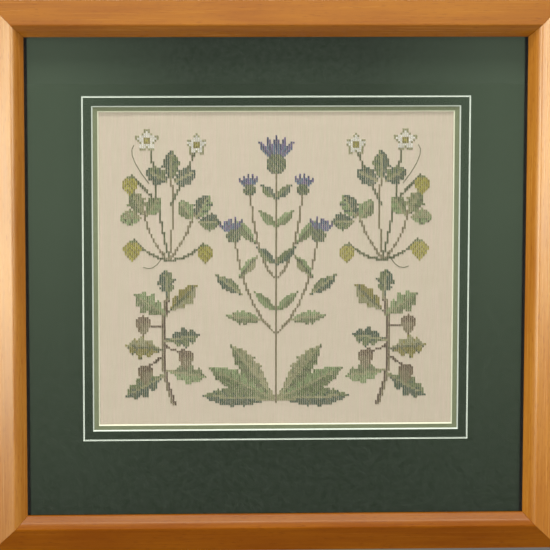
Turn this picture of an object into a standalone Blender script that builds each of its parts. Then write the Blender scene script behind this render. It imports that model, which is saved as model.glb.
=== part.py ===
"""Framed cross-stitch: a mitred wooden frame with glass, two window mats, the linen and a backing board.

Metres, +Z up, front towards -Y. The frame's back lies in the plane y = 0, and the origin is the middle
of the back of the top rail, where the frame meets the wall that it hangs on.
"""

import math

import bmesh
import bpy
from mathutils import Matrix, Vector

# Sight opening, the edge of the wood round the picture
SIGHT_WIDTH = 0.582
SIGHT_HEIGHT = 0.560

# Rail section, measured outwards from the sight edge and forwards from the wall
RAIL_WIDTH = 0.0430
REBATE_WIDTH = 0.0060
REBATE_DEPTH = 0.0102
LIP_EDGE = 0.0020
LIP_ROUND = 0.0010
SLOPE_END = 0.0094
SLOPE_TOP = 0.0229
BEAD_END = 0.0145
RIDGE_TOP = 0.0252
QUIRK_WIDTH = 0.0009
QUIRK_DEPTH = 0.0005
OUTER_EDGE_TOP = 0.0160
EDGE_ROUND = 0.0014
BACK_CHAMFER = 0.0008
BEAD_STEPS = 4
EDGE_STEPS = 3

# Clear space between neighbouring pieces
GAP = 0.0003

# Layers in the rebate, from the glass to the backing
GLASS_THICKNESS = 0.0020
MAT_THICKNESS = 0.0015
LINEN_THICKNESS = 0.0010
BOARD_THICKNESS = 0.0022

# Mats: the side edges stop short of the wood, and the windows sit a little above the middle
MAT_SIDE_GAP = 0.0035
WINDOW_RISE = 0.0098
BEVEL_WIDTH = 0.0016
GROOVE_WIDTH = 0.0024
GROOVE_DEPTH = 0.0010
GROOVE_SIZE = (0.4490, 0.4035)
OUTER_WINDOW = (0.4268, 0.3803)
INNER_WINDOW = (0.4130, 0.3680)
LINEN_MARGIN = 0.0200

# Place of the sight opening's middle below the origin
BACK_LAND = RAIL_WIDTH - REBATE_WIDTH
MIDDLE_Z = -(SIGHT_HEIGHT / 2 + REBATE_WIDTH + BACK_LAND / 2)

# Depth in front of the wall of each layer's front face
GLASS_FRONT = REBATE_DEPTH - GAP
OUTER_MAT_FRONT = GLASS_FRONT - GLASS_THICKNESS - GAP
INNER_MAT_FRONT = OUTER_MAT_FRONT - MAT_THICKNESS - GAP
LINEN_FRONT = INNER_MAT_FRONT - MAT_THICKNESS - GAP
BOARD_FRONT = LINEN_FRONT - LINEN_THICKNESS - GAP

# Colour, roughness and transmission of each material
FINISHES = {
    "honey_wood": ((0.52, 0.26, 0.08), 0.38, 0.0),
    "clear_glass": ((0.95, 0.97, 0.96), 0.03, 1.0),
    "dark_green_mat": ((0.055, 0.085, 0.060), 0.85, 0.0),
    "sage_mat": ((0.22, 0.28, 0.16), 0.85, 0.0),
    "natural_linen": ((0.60, 0.52, 0.41), 0.90, 0.0),
    "backing_card": ((0.06, 0.05, 0.04), 0.90, 0.0),
}


def clear_scene():
    """Remove every object that the file holds."""
    for obj in list(bpy.data.objects):
        bpy.data.objects.remove(obj, do_unlink=True)


def make_material(name):
    """A Principled material from its row of FINISHES."""
    colour, roughness, transmission = FINISHES[name]
    material = bpy.data.materials.new(name)
    material.use_nodes = True
    shader = material.node_tree.nodes["Principled BSDF"]
    shader.inputs["Base Color"].default_value = (*colour, 1.0)
    shader.inputs["Roughness"].default_value = roughness
    shader.inputs["Metallic"].default_value = 0.0
    shader.inputs["Transmission Weight"].default_value = transmission
    return material


def add_object(name, bm, material):
    """Turn a closed bmesh into a named object with outward faces."""
    bmesh.ops.recalc_face_normals(bm, faces=bm.faces[:])
    mesh = bpy.data.meshes.new(name)
    bm.to_mesh(mesh)
    bm.free()
    mesh.materials.append(material)
    obj = bpy.data.objects.new(name, mesh)
    bpy.context.scene.collection.objects.link(obj)
    return obj


def arc_points(centre, radius, start_deg, end_deg, steps):
    """Points on an arc, both ends included."""
    points = []
    for step in range(steps + 1):
        angle = math.radians(start_deg + (end_deg - start_deg) * step / steps)
        points.append((centre[0] + radius * math.cos(angle), centre[1] + radius * math.sin(angle)))
    return points


def bead_points():
    """The round bead, from the head of the inner slope over to the quirk."""
    points = []
    for step in range(1, BEAD_STEPS + 1):
        share = step / BEAD_STEPS
        rise = math.sin(share * math.pi / 2)
        outward = SLOPE_END + (BEAD_END - SLOPE_END) * share
        points.append((outward, SLOPE_TOP + (RIDGE_TOP - SLOPE_TOP) * rise))
    return points


def rail_section():
    """Closed outline of a rail as (outward, forward) points, from the lip round over the face to the back."""
    lip_front = REBATE_DEPTH + LIP_EDGE
    quirk_end = BEAD_END + QUIRK_WIDTH
    edge_centre = (RAIL_WIDTH - EDGE_ROUND, OUTER_EDGE_TOP - EDGE_ROUND)
    points = [(0.0, REBATE_DEPTH), (0.0, lip_front), (LIP_ROUND, lip_front + LIP_ROUND)]
    points += [(SLOPE_END, SLOPE_TOP)] + bead_points()
    points += [(BEAD_END + QUIRK_WIDTH / 2, RIDGE_TOP - 2 * QUIRK_DEPTH), (quirk_end, RIDGE_TOP - QUIRK_DEPTH)]
    points += arc_points(edge_centre, EDGE_ROUND, 75.0, 0.0, EDGE_STEPS)
    points += [(RAIL_WIDTH, BACK_CHAMFER), (RAIL_WIDTH - BACK_CHAMFER, 0.0)]
    points += [(REBATE_WIDTH, 0.0), (REBATE_WIDTH, REBATE_DEPTH)]
    return points


def make_rail(name, sight_length, sight_offset, turn_deg, material):
    """A mitred rail. It is built along X above the opening and turned about the opening's middle.

    The ends run at 45 degrees, and each is set back by half a gap from the mitre plane.
    """
    bm = bmesh.new()
    half = sight_length / 2 - GAP / math.sqrt(2)
    section = rail_section()
    corners = [bm.verts.new((-half - out, -forward, sight_offset + out)) for out, forward in section]
    end = bm.faces.new(corners)
    swept = bmesh.ops.extrude_face_region(bm, geom=[end])
    far_end = [item for item in swept["geom"] if isinstance(item, bmesh.types.BMVert)]
    for vert in far_end:
        vert.co.x = -vert.co.x
    turn = Matrix.Rotation(math.radians(turn_deg), 4, "Y")
    bmesh.ops.transform(bm, matrix=Matrix.Translation((0.0, 0.0, MIDDLE_Z)) @ turn, verts=bm.verts[:])
    return add_object(name, bm, material)


def make_plate(name, size, front, thickness, rise, material):
    """A flat rectangular sheet whose front face is a given depth in front of the wall."""
    bm = bmesh.new()
    bmesh.ops.create_cube(bm, size=1.0)
    bmesh.ops.scale(bm, vec=Vector((size[0], thickness, size[1])), verts=bm.verts[:])
    middle = Vector((0.0, -(front - thickness / 2), MIDDLE_Z + rise))
    bmesh.ops.translate(bm, vec=middle, verts=bm.verts[:])
    return add_object(name, bm, material)


def rectangle_loop(bm, size, depth, rise):
    """Edges of an upright rectangle at a depth in front of the wall."""
    corners = []
    for side, level in ((-1, -1), (1, -1), (1, 1), (-1, 1)):
        place = (side * size[0] / 2, -depth, MIDDLE_Z + rise + level * size[1] / 2)
        corners.append(bm.verts.new(place))
    return [bm.edges.new((corners[index], corners[(index + 1) % 4])) for index in range(4)]


def grown(size, margin):
    """A rectangle's size with the same margin added on every side."""
    return (size[0] + 2 * margin, size[1] + 2 * margin)


def make_mat(name, outer, front, window, grooves, material):
    """A window mat: nested rectangles bridged from the outer edge to the bevelled window and round the back."""
    back = front - MAT_THICKNESS
    bm = bmesh.new()
    loops = [rectangle_loop(bm, outer, back, 0.0), rectangle_loop(bm, outer, front, 0.0)]
    for groove in grooves:
        loops.append(rectangle_loop(bm, grown(groove, GROOVE_WIDTH / 2), front, WINDOW_RISE))
        loops.append(rectangle_loop(bm, groove, front - GROOVE_DEPTH, WINDOW_RISE))
        loops.append(rectangle_loop(bm, grown(groove, -GROOVE_WIDTH / 2), front, WINDOW_RISE))
    loops.append(rectangle_loop(bm, grown(window, BEVEL_WIDTH / 2), front, WINDOW_RISE))
    loops.append(rectangle_loop(bm, grown(window, -BEVEL_WIDTH / 2), back, WINDOW_RISE))
    for index, loop in enumerate(loops):
        bmesh.ops.bridge_loops(bm, edges=loop + loops[(index + 1) % len(loops)])
    return add_object(name, bm, material)


def build():
    """Model every piece of the framed cross-stitch."""
    clear_scene()
    materials = {name: make_material(name) for name in FINISHES}
    wood = materials["honey_wood"]
    make_rail("rail_top", SIGHT_WIDTH, SIGHT_HEIGHT / 2, 0.0, wood)
    make_rail("rail_right", SIGHT_HEIGHT, SIGHT_WIDTH / 2, 90.0, wood)
    make_rail("rail_bottom", SIGHT_WIDTH, SIGHT_HEIGHT / 2, 180.0, wood)
    make_rail("rail_left", SIGHT_HEIGHT, SIGHT_WIDTH / 2, 270.0, wood)
    rebate = grown((SIGHT_WIDTH, SIGHT_HEIGHT), REBATE_WIDTH - GAP)
    make_plate("glass", rebate, GLASS_FRONT, GLASS_THICKNESS, 0.0, materials["clear_glass"])
    mat_outer = (SIGHT_WIDTH - 2 * MAT_SIDE_GAP, rebate[1])
    make_mat("mat_outer", mat_outer, OUTER_MAT_FRONT, OUTER_WINDOW, [GROOVE_SIZE], materials["dark_green_mat"])
    make_mat("mat_inner", mat_outer, INNER_MAT_FRONT, INNER_WINDOW, [], materials["sage_mat"])
    linen_size = grown(INNER_WINDOW, LINEN_MARGIN)
    make_plate("linen", linen_size, LINEN_FRONT, LINEN_THICKNESS, WINDOW_RISE, materials["natural_linen"])
    make_plate("backing_board", rebate, BOARD_FRONT, BOARD_THICKNESS, 0.0, materials["backing_card"])


build()
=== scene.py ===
"""Framed cross-stitch: the finishes, the cloth, the stitches, the lights and the camera.

Laid out as a Blender add-on and run as a script. Every size is in metres. The picture hangs upright,
front towards -Y, with the back of its frame in the plane y = 0.
"""

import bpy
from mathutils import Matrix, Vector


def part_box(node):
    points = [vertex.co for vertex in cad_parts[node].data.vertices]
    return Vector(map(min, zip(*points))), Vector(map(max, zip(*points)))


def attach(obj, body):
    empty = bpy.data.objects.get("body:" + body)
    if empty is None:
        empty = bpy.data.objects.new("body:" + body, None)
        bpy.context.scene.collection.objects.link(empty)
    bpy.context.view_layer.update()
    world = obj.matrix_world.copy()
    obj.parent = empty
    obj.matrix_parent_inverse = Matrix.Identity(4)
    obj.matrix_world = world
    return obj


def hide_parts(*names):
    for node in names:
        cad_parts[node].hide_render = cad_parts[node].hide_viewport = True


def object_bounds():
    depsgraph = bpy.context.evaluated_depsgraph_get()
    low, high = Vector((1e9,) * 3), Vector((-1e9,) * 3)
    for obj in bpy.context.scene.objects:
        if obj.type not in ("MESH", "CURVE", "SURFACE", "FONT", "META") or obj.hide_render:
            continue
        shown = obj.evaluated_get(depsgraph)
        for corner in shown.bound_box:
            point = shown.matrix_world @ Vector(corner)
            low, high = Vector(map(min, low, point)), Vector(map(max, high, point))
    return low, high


bl_info = {
    "name": "Framed Cross-stitch",
    "version": (1, 0, 0),
    "blender": (4, 5, 0),
    "location": "View3D > Sidebar > Cross-stitch",
    "description": "Builds a cross-stitch picture in two window mats behind glass in a mitred wooden frame",
    "category": "Add Mesh",
}

import cmath
import math

import bmesh
import bpy
import numpy as np
from bpy.props import FloatProperty, FloatVectorProperty, IntProperty, PointerProperty
from mathutils import Matrix, Vector

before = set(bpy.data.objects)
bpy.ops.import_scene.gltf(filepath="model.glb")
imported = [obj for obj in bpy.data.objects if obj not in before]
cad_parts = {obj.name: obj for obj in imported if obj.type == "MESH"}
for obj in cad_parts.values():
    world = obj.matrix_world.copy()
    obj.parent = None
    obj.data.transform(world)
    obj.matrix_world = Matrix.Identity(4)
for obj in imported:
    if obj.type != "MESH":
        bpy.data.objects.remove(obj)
CAD_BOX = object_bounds()

# Clear space between the wood and the glass
GLASS_CLEARANCE = 0.0003

# The sight opening and the layers, read from the frame
SIGHT_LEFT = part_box("rail_left")[1].x
SIGHT_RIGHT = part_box("rail_right")[0].x
SIGHT_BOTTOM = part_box("rail_bottom")[1].z
SIGHT_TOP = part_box("rail_top")[0].z
SIGHT_MIDDLE = Vector(((SIGHT_LEFT + SIGHT_RIGHT) / 2, 0.0, (SIGHT_BOTTOM + SIGHT_TOP) / 2))
RAIL_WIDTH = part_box("rail_top")[1].z - SIGHT_TOP
REBATE_DEPTH = -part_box("glass")[0].y + GLASS_CLEARANCE
REBATE_WIDTH = 0.0060
LINEN_LOW, LINEN_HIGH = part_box("linen")
CLOTH_MIDDLE_Z = (LINEN_LOW.z + LINEN_HIGH.z) / 2

# Each rail with the turn that brings it from above the opening to its side
RAIL_TURNS = {"top": 0.0, "right": 90.0, "bottom": 180.0, "left": 270.0}

# Rounding of edges: reach in metres and number of steps
SHARP = (0.0, 0)
LIP_ROUND = (0.0013, 5)
BEAD_STEPS = 14
BEAD_EDGE_ROUND = (0.0003, 2)
QUIRK_ROUND = (0.0002, 2)
OUTER_ROUND = (0.0006, 3)
BACK_CHAMFER = (0.0007, 1)
GLASS_EDGE = (0.0003, 1)

# Deepest place of the fine groove: share of its width, and depth as a multiple of the quirk's drop
QUIRK_FLOOR = (0.7, 2.5)

# Wood of each rail: factors for red, green and blue that paint light on it, paler side rails as painted sheen
# and darker top and bottom rails as painted shade, and the gloss of its lacquer
RAIL_PAINTED_LIGHT_AND_GLOSS = {
    "top": ((0.77, 0.83, 1.2), 0.36),
    "right": ((1.33, 1.68, 6.0), 0.62),
    "bottom": ((0.65, 0.59, 0.5), 0.10),
    "left": ((1.08, 1.36, 6.0), 0.58),
}

# How far the grain of each rail is shifted from that of the one before
GRAIN_SHIFT = (0.37, 0.11, 0.23)

# Cells per metre of each pattern, along X, Y and Z
BROAD_GRAIN = (7.0, 45.0, 45.0)
FINE_GRAIN = (9.0, 420.0, 420.0)
FLECK_GRAIN = (85.0, 1050.0, 1050.0)
PORE_GRAIN = (260.0, 3400.0, 3400.0)
CARD_MOTTLE = (150.0, 150.0, 150.0)
CARD_FIBRES = (2600.0, 2600.0, 900.0)
WARP_SLUBS = (800.0, 1.0, 42.0)
WEFT_SLUBS = (42.0, 1.0, 800.0)
LINEN_STREAKS = (420.0, 1.0, 11.0)

# Painted glare on the outer mat, which stands in for the sheen of the side lamps and for light that weakens
# downwards: where it starts and where it is strongest, along X and Z in metres
GLARE_ASIDE = (0.10, 0.25)
GLARE_UPPER = (-0.62, -0.22)
GLARE_OVERALL = (-0.60, 0.0)

# How much paler a card's ground or fibres are than its colour, or darker where the share is negative
PAPER_GROUND, PAPER_FIBRE = -0.06, 0.02
CORE_FIBRE = -0.10
FLOOR_FIBRE = 0.06

# Relief of each finish: depth in metres and strength
WOOD_RELIEF = (0.00005, 0.5)
CARD_RELIEF = (0.00006, 0.4)
LINEN_RELIEF = (0.00022, 0.7)
FLOSS_RELIEF = (0.00005, 0.6)

# Other values of the finishes
LACQUER_TINT = (1.0, 0.90, 0.66, 1.0)
FLECK_SHARE = 0.55
MIRRORED_ROUGHNESS = 0.9
GLASS_TINT = (0.985, 0.995, 0.99, 1.0)
GLASS_CLEARNESS = (0.97, 0.98, 0.975, 1.0)
THREAD_UNEVENNESS = 0.9
FLOSS_TURNS = 1.5

# Material indices on a window mat
PAPER, CORE = 0, 1

# Angles up to which neighbouring faces are shaded as one surface
WOOD_SMOOTH = math.radians(32)
LINEN_SMOOTH = math.radians(40)
FLOSS_SMOOTH = math.radians(60)

# The linen's mesh, the waves of its ripple in radians per metre, and the space that it keeps behind it
LINEN_CELLS = (96, 86)
RIPPLE_ACROSS = 61.0
RIPPLE_UP = 43.0
RIPPLE_BEND = 17.0
RIPPLE_SWAY = 1.3
RIPPLE_START = 0.7
LINEN_SPACE = 0.0001

# How stitches vary: turn in radians, size as a share, shift in metres, rise and shade as shares
STITCH_SEED = 7
TURN_SPREAD = 0.035
SIZE_SPREAD = 0.035
SHIFT_SPREAD = 0.000045
LEAST_RISE = 0.85
RISE_SPREAD = 0.3
SHADE_SPREAD = 0.07
TENDRIL_SHADE_SPREAD = 0.05

# How far a leg's plies lie from its middle, in radii, and the power that makes them rise steeply
PLY_SPACING = 0.9
PLY_RISE_POWER = 0.6

# Back stitches: squares under one, rise over their ends, place in front of the linen, and thickness
# beside the crosses
BACK_STITCH_SQUARES = 2.0
BACK_STITCH_RISE = 0.00018
BACK_STITCH_LIFT = 0.0002
BACK_STITCH_GIRTH = 1.1

# Distance below which two places count as one
SAME_PLACE = 0.00001

# Colours of the lamps and of the light from all round, and half the floor's width
LIGHT_COLOUR = (1.0, 0.99, 0.97)
SKY_COLOUR = (0.96, 0.97, 1.0, 1.0)
FLOOR_SIZE = 12.0

# The camera's sensor in millimetres, and how far it sees
SENSOR_WIDTH = 36.0
SIGHT_REACH = 60.0

# Soft lights: name, place, aim, size, spread in degrees and power in watts
LIGHTS = [
    ("overhead", (0.0, -1.40, 1.35), (0.0, 0.0, -0.30), (1.6, 1.2), 80.0, 3.8),
    ("top", (0.0, -0.56, 1.50), (0.0, 0.0, -0.40), (1.6, 0.26), 60.0, 6.3),
    ("left_side", (-1.63, -1.75, -0.46), (-0.2, 0.0, -0.30), (1.05, 0.75), 100.0, 10.2),
    ("right_side", (1.92, -1.75, -0.28), (0.2, 0.0, -0.30), (1.05, 0.75), 100.0, 8.6),
    ("behind", (0.0, 2.20, -0.55), (0.0, 0.0, -0.35), (1.8, 0.8), 80.0, 12.0),
]


# Settings that a user may change


def metres(name, description, default):
    """A size as a property."""
    return FloatProperty(name=name, description=description, default=default, unit="LENGTH")


def degrees(name, description, default):
    """An angle as a property, from its default in degrees."""
    return FloatProperty(name=name, description=description, default=math.radians(default), subtype="ANGLE")


def rgb(name, description, default):
    """A colour as a property, from its red, green and blue."""
    return FloatVectorProperty(name=name, description=description, default=default,
                               size=3, min=0.0, max=1.0, subtype="COLOR")


class FrameSettings(bpy.types.PropertyGroup):
    """Sizes and colours of the wooden moulding."""

    lip: metres("Lip", "Thickness of the wood at the sight edge", 0.0020)
    knee: metres("Knee", "Distance from the sight edge to the middle of the round bead", 0.0100)
    knee_top: metres("Knee top", "Height in front of the wall where slope and bead would meet", 0.0228)
    bead_round: metres("Bead round", "How far the bead's round reaches to each side", 0.0044)
    bead_end: metres("Bead end", "Distance from the sight edge to the quirk", 0.0145)
    ridge_top: metres("Ridge top", "Height of the bead's outer edge in front of the wall", 0.0251)
    quirk_width: metres("Quirk width", "Width of the fine groove beside the bead", 0.00095)
    quirk_drop: metres("Quirk drop", "How far the outer face starts below the bead", 0.0001)
    outer_edge: metres("Outer edge", "Height of the outer edge in front of the wall", 0.0156)
    mitre_gap: metres("Mitre gap", "Open joint between two rails", 0.00012)
    mitre_ease: metres("Mitre ease", "Worn edge along each mitre", 0.00022)
    pale_wood: rgb("Pale wood", "Lighter tone of the lacquered wood", (0.386, 0.124, 0.0038))
    deep_wood: rgb("Deep wood", "Darker tone of the lacquered wood", (0.306, 0.0835, 0.0020))
    fleck: rgb("Fleck", "Colour of the short flecks along the grain", (0.209, 0.0460, 0.0012))


class MatSettings(bpy.types.PropertyGroup):
    """Sizes and colours of the window mats and the board behind."""

    groove_width: metres("Groove width", "Width of the cut line round the window", 0.0021)
    groove_depth: metres("Groove depth", "Depth of the cut line", 0.0010)
    groove_reach: metres("Groove reach", "From the outer window to the cut line", 0.0112)
    bevel_width: metres("Bevel width", "Width of the slanted cut of a window", 0.0016)
    paper: metres("Paper", "Thickness of the coloured paper on the board's core", 0.00015)
    dark_green: rgb("Dark green", "Face of the outer mat", (0.0100, 0.0200, 0.0075))
    # Painted glare: the outer mat's colour where its painted sheen of the lamps is strongest
    faded_green: rgb("Faded green", "Outer mat where daylight has paled it", (0.0540, 0.0760, 0.0480))
    sage: rgb("Sage", "Face of the inner mat", (0.170, 0.190, 0.103))
    outer_core: rgb("Outer core", "Cut edge of the outer mat", (0.70, 0.75, 0.66))
    inner_core: rgb("Inner core", "Cut edge of the inner mat", (0.80, 0.79, 0.60))
    board: rgb("Board", "Card behind the cloth", (0.034, 0.029, 0.024))
    board_fibre: rgb("Board fibre", "Paler fibres in the card", (0.070, 0.058, 0.046))


class ClothSettings(bpy.types.PropertyGroup):
    """Sizes and colours of the linen, and sizes of the stitches."""

    thread_pitch: metres("Thread pitch", "Distance between neighbouring linen threads", 0.00125)
    threads_per_stitch: IntProperty(name="Threads per stitch", description="Threads under one cross stitch",
                                    default=2, min=1, max=4)
    cloth_thickness: metres("Cloth thickness", "Thickness of the linen", 0.0007)
    ripple: metres("Ripple", "How far the stretched cloth strays from flat", 0.00010)
    ply_radius: metres("Ply radius", "Half the thickness of one ply of floss", 0.00030)
    side_space: metres("Side space", "From a cross's hole to the edge of its square, sideways", 0.00036)
    row_space: metres("Row space", "From a cross's hole to the edge of its square, upwards", 0.00008)
    lower_leg: metres("Lower leg", "Rise of a cross's first leg over the linen", 0.00030)
    upper_leg: metres("Upper leg", "Rise of a cross's second leg over the linen", 0.00056)
    linen_pale: rgb("Pale linen", "Top of the linen threads", (0.628, 0.516, 0.430))
    linen_deep: rgb("Deep linen", "Shadowed gaps between the threads", (0.43, 0.35, 0.25))
    linen_streak: rgb("Streaked linen", "Threads of a duller, greener tone", (0.58, 0.52, 0.40))


class StageSettings(bpy.types.PropertyGroup):
    """Camera, lights and floor."""

    camera_place: FloatVectorProperty(name="Camera place", description="Where the camera stands",
                                      default=(-0.1780, -3.6627, 0.2256), size=3,
                                      subtype="TRANSLATION", unit="LENGTH")
    camera_yaw: degrees("Camera yaw", "Turn to the right from straight on", 2.765)
    camera_pitch: degrees("Camera pitch", "Tilt, negative when it looks down", -8.200)
    camera_roll: degrees("Camera roll", "Turn about the line of sight", 0.121)
    lens: FloatProperty(name="Lens", description="Focal length on a 36 mm sensor, in millimetres",
                        default=207.8)
    floor_drop: metres("Floor drop", "Height of the frame over the floor, as it hangs", 0.45)
    floor_colour: rgb("Floor colour", "Plain pale floor", (0.62, 0.61, 0.59))
    sky_strength: FloatProperty(name="Sky strength", description="Soft light from all round", default=0.12)


# Nodes and materials


def add_node(tree, kind, inputs=None, **settings):
    """Add a node, set its options, and give each named input a value or a link."""
    node = tree.nodes.new(kind)
    for key, value in settings.items():
        setattr(node, key, value)
    for key, value in (inputs or {}).items():
        if isinstance(value, bpy.types.NodeSocket):
            tree.links.new(value, node.inputs[key])
        else:
            node.inputs[key].default_value = value
    return node


def maths(tree, operation, *values):
    """Output of a Math node whose inputs are numbers or sockets."""
    return add_node(tree, "ShaderNodeMath", dict(enumerate(values)), operation=operation).outputs["Value"]


def times(tree, first, second):
    """Product of two numbers or sockets."""
    return maths(tree, "MULTIPLY", first, second)


def plus(tree, first, second):
    """Sum of two numbers or sockets."""
    return maths(tree, "ADD", first, second)


def blended(tree, factor, first, second, mode="MIX"):
    """Colour output of a Mix node. Each colour is a socket or four numbers."""
    inputs = {"Factor": factor, 6: first, 7: second}
    return add_node(tree, "ShaderNodeMix", inputs, data_type="RGBA", blend_type=mode).outputs[2]


def spread(tree, value, low, high, new_low=0.0, new_high=1.0):
    """Output of a Map Range node that stretches low to high onto the new limits."""
    inputs = {"Value": value, "From Min": low, "From Max": high, "To Min": new_low, "To Max": new_high}
    return add_node(tree, "ShaderNodeMapRange", inputs, clamp=True).outputs["Result"]


def stretched_noise(tree, vector, scale, detail=2.0, roughness=0.5):
    """Noise whose grain has another size along each axis. The scale is in cells per metre."""
    stretch = add_node(tree, "ShaderNodeVectorMath", {0: vector, 1: scale}, operation="MULTIPLY")
    inputs = {"Vector": stretch.outputs["Vector"], "Scale": 1.0, "Detail": detail, "Roughness": roughness}
    return add_node(tree, "ShaderNodeTexNoise", inputs).outputs["Fac"]


def new_group(name, inputs, outputs):
    """An empty shader node group with named sockets, and its entry and exit sockets."""
    group = bpy.data.node_groups.new(name, "ShaderNodeTree")
    for side, sockets in (("INPUT", inputs), ("OUTPUT", outputs)):
        for label, kind in sockets.items():
            group.interface.new_socket(label, in_out=side, socket_type="NodeSocket" + kind)
    entry = group.nodes.new("NodeGroupInput")
    leave = group.nodes.new("NodeGroupOutput")
    return group, entry.outputs, leave.inputs


def place_group(tree, build, inputs):
    """Place a node group in a material with its own values. It is built when it is first placed."""
    group = bpy.data.node_groups.get(build.__name__) or build()
    return add_node(tree, "ShaderNodeGroup", inputs, node_tree=group).outputs


def wood_grain():
    """Close-grained lacquered wood: broad tone, fine lines and short dark flecks, all running along X."""
    inputs = {"Vector": "Vector", "Pale": "Color", "Deep": "Color", "Fleck": "Color", "Flecks": "Float"}
    outputs = {"Color": "Color", "Roughness": "Float", "Height": "Float"}
    group, entry, leave = new_group("wood_grain", inputs, outputs)
    broad = stretched_noise(group, entry["Vector"], BROAD_GRAIN, 2.0)
    lines = stretched_noise(group, entry["Vector"], FINE_GRAIN, 3.0, 0.6)
    dashes = stretched_noise(group, entry["Vector"], FLECK_GRAIN, 1.0)
    pores = stretched_noise(group, entry["Vector"], PORE_GRAIN, 1.0)
    tone = plus(group, times(group, broad, 0.55), times(group, lines, 0.45))
    ground = blended(group, spread(group, tone, 0.38, 0.62), entry["Deep"], entry["Pale"])
    fleck_mask = times(group, spread(group, dashes, 0.60, 0.72), entry["Flecks"])
    group.links.new(blended(group, fleck_mask, ground, entry["Fleck"]), leave["Color"])
    group.links.new(spread(group, lines, 0.3, 0.7, 0.20, 0.29), leave["Roughness"])
    pore_dip = times(group, spread(group, pores, 0.55, 0.75), -0.3)
    group.links.new(plus(group, lines, pore_dip), leave["Height"])
    return group


def card_fibre():
    """Matte paper face: a faint mottle and fine fibres, with a little relief."""
    inputs = {"Vector": "Vector", "Face": "Color", "Fibre": "Color", "Amount": "Float"}
    group, entry, leave = new_group("card_fibre", inputs, {"Color": "Color", "Height": "Float"})
    mottle = stretched_noise(group, entry["Vector"], CARD_MOTTLE, 4.0, 0.6)
    fibres = stretched_noise(group, entry["Vector"], CARD_FIBRES, 2.0)
    mask = times(group, times(group, mottle, fibres), 2.0)
    mask = times(group, spread(group, mask, 0.25, 0.75), entry["Amount"])
    group.links.new(blended(group, mask, entry["Face"], entry["Fibre"]), leave["Color"])
    group.links.new(fibres, leave["Height"])
    return group


def painted_glare():
    """Painted glare: a colour made paler most at the sides and in the upper half, standing in for the sheen
    of the side lamps and for light that weakens downwards.
    """
    inputs = {"Vector": "Vector", "Color": "Color", "Faded": "Color"}
    group, entry, leave = new_group("painted_glare", inputs, {"Color": "Color"})
    axes = add_node(group, "ShaderNodeSeparateXYZ", {0: entry["Vector"]}).outputs
    aside = spread(group, maths(group, "ABSOLUTE", axes["X"]), *GLARE_ASIDE)
    upper = spread(group, axes["Z"], *GLARE_UPPER)
    overall = times(group, spread(group, axes["Z"], *GLARE_OVERALL), 0.18)
    glare_share = plus(group, times(group, times(group, aside, upper), 0.75), overall)
    group.links.new(blended(group, glare_share, entry["Color"], entry["Faded"]), leave["Color"])
    return group


def linen_weave():
    """Plain weave over X and Z: upright and level threads pass over each other, each of uneven thickness,
    with painted shade in the gaps between them.
    """
    inputs = {"Vector": "Vector", "Threads": "Float", "Top": "Color", "GapShadow": "Color", "Streak": "Color"}
    inputs["Slub"] = "Float"
    group, entry, leave = new_group("linen_weave", inputs, {"Color": "Color", "Height": "Float"})
    axes = add_node(group, "ShaderNodeSeparateXYZ", {0: entry["Vector"]}).outputs
    turns = times(group, entry["Threads"], math.pi)
    across = maths(group, "SINE", times(group, axes["X"], turns))
    along = maths(group, "SINE", times(group, axes["Z"], turns))
    over = times(group, times(group, across, along), 0.45)
    upright = times(group, maths(group, "ABSOLUTE", across), plus(group, over, 0.55))
    level = times(group, maths(group, "ABSOLUTE", along), maths(group, "SUBTRACT", 0.55, over))
    height = maths(group, "MAXIMUM", upright, level)
    warp_slub = stretched_noise(group, entry["Vector"], WARP_SLUBS, 2.0, 0.6)
    weft_slub = stretched_noise(group, entry["Vector"], WEFT_SLUBS, 2.0, 0.6)
    slub = plus(group, times(group, warp_slub, 0.7), times(group, weft_slub, 0.3))
    slub = times(group, maths(group, "SUBTRACT", slub, 0.5), entry["Slub"])
    # Painted shade: where the threads sink, the gap colour darkens the gaps between them
    cover = spread(group, plus(group, height, slub), 0.05, 1.0)
    streaks = stretched_noise(group, entry["Vector"], LINEN_STREAKS, 2.0, 0.6)
    thread = blended(group, spread(group, streaks, 0.42, 0.60), entry["Streak"], entry["Top"])
    group.links.new(blended(group, cover, entry["GapShadow"], thread), leave["Color"])
    group.links.new(plus(group, height, slub), leave["Height"])
    return group


def floss_twist():
    """Stranded floss: fine ridges that wind round the ply, which runs along U of the UV map, with painted
    shade in the grooves between them.
    """
    inputs = {"UV": "Vector", "Floss": "Color", "Shade": "Float", "Turns": "Float"}
    group, entry, leave = new_group("floss_twist", inputs, {"Color": "Color", "Height": "Float"})
    axes = add_node(group, "ShaderNodeSeparateXYZ", {0: entry["UV"]}).outputs
    phase = plus(group, times(group, axes["X"], entry["Turns"]), axes["Y"])
    ridge = maths(group, "SINE", times(group, phase, 4.0 * math.pi))
    ridge = spread(group, ridge, -1.0, 1.0)
    # Painted shade: darker in the grooves between the ridges, times the stitch's own tone
    light = times(group, plus(group, times(group, ridge, 0.25), 0.80), entry["Shade"])
    groove_shade_and_tone = add_node(group, "ShaderNodeCombineColor", {0: light, 1: light, 2: light}).outputs[0]
    group.links.new(blended(group, 1.0, entry["Floss"], groove_shade_and_tone, "MULTIPLY"), leave["Color"])
    group.links.new(ridge, leave["Height"])
    return group


def new_material(name, **constants):
    """A material with its tree and Principled shader, whose fixed values are set on the shader itself."""
    material = bpy.data.materials.new(name)
    material.use_nodes = True
    shader = material.node_tree.nodes["Principled BSDF"]
    for key, value in constants.items():
        shader.inputs[key.replace("_", " ")].default_value = value
    return material, material.node_tree, shader


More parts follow.
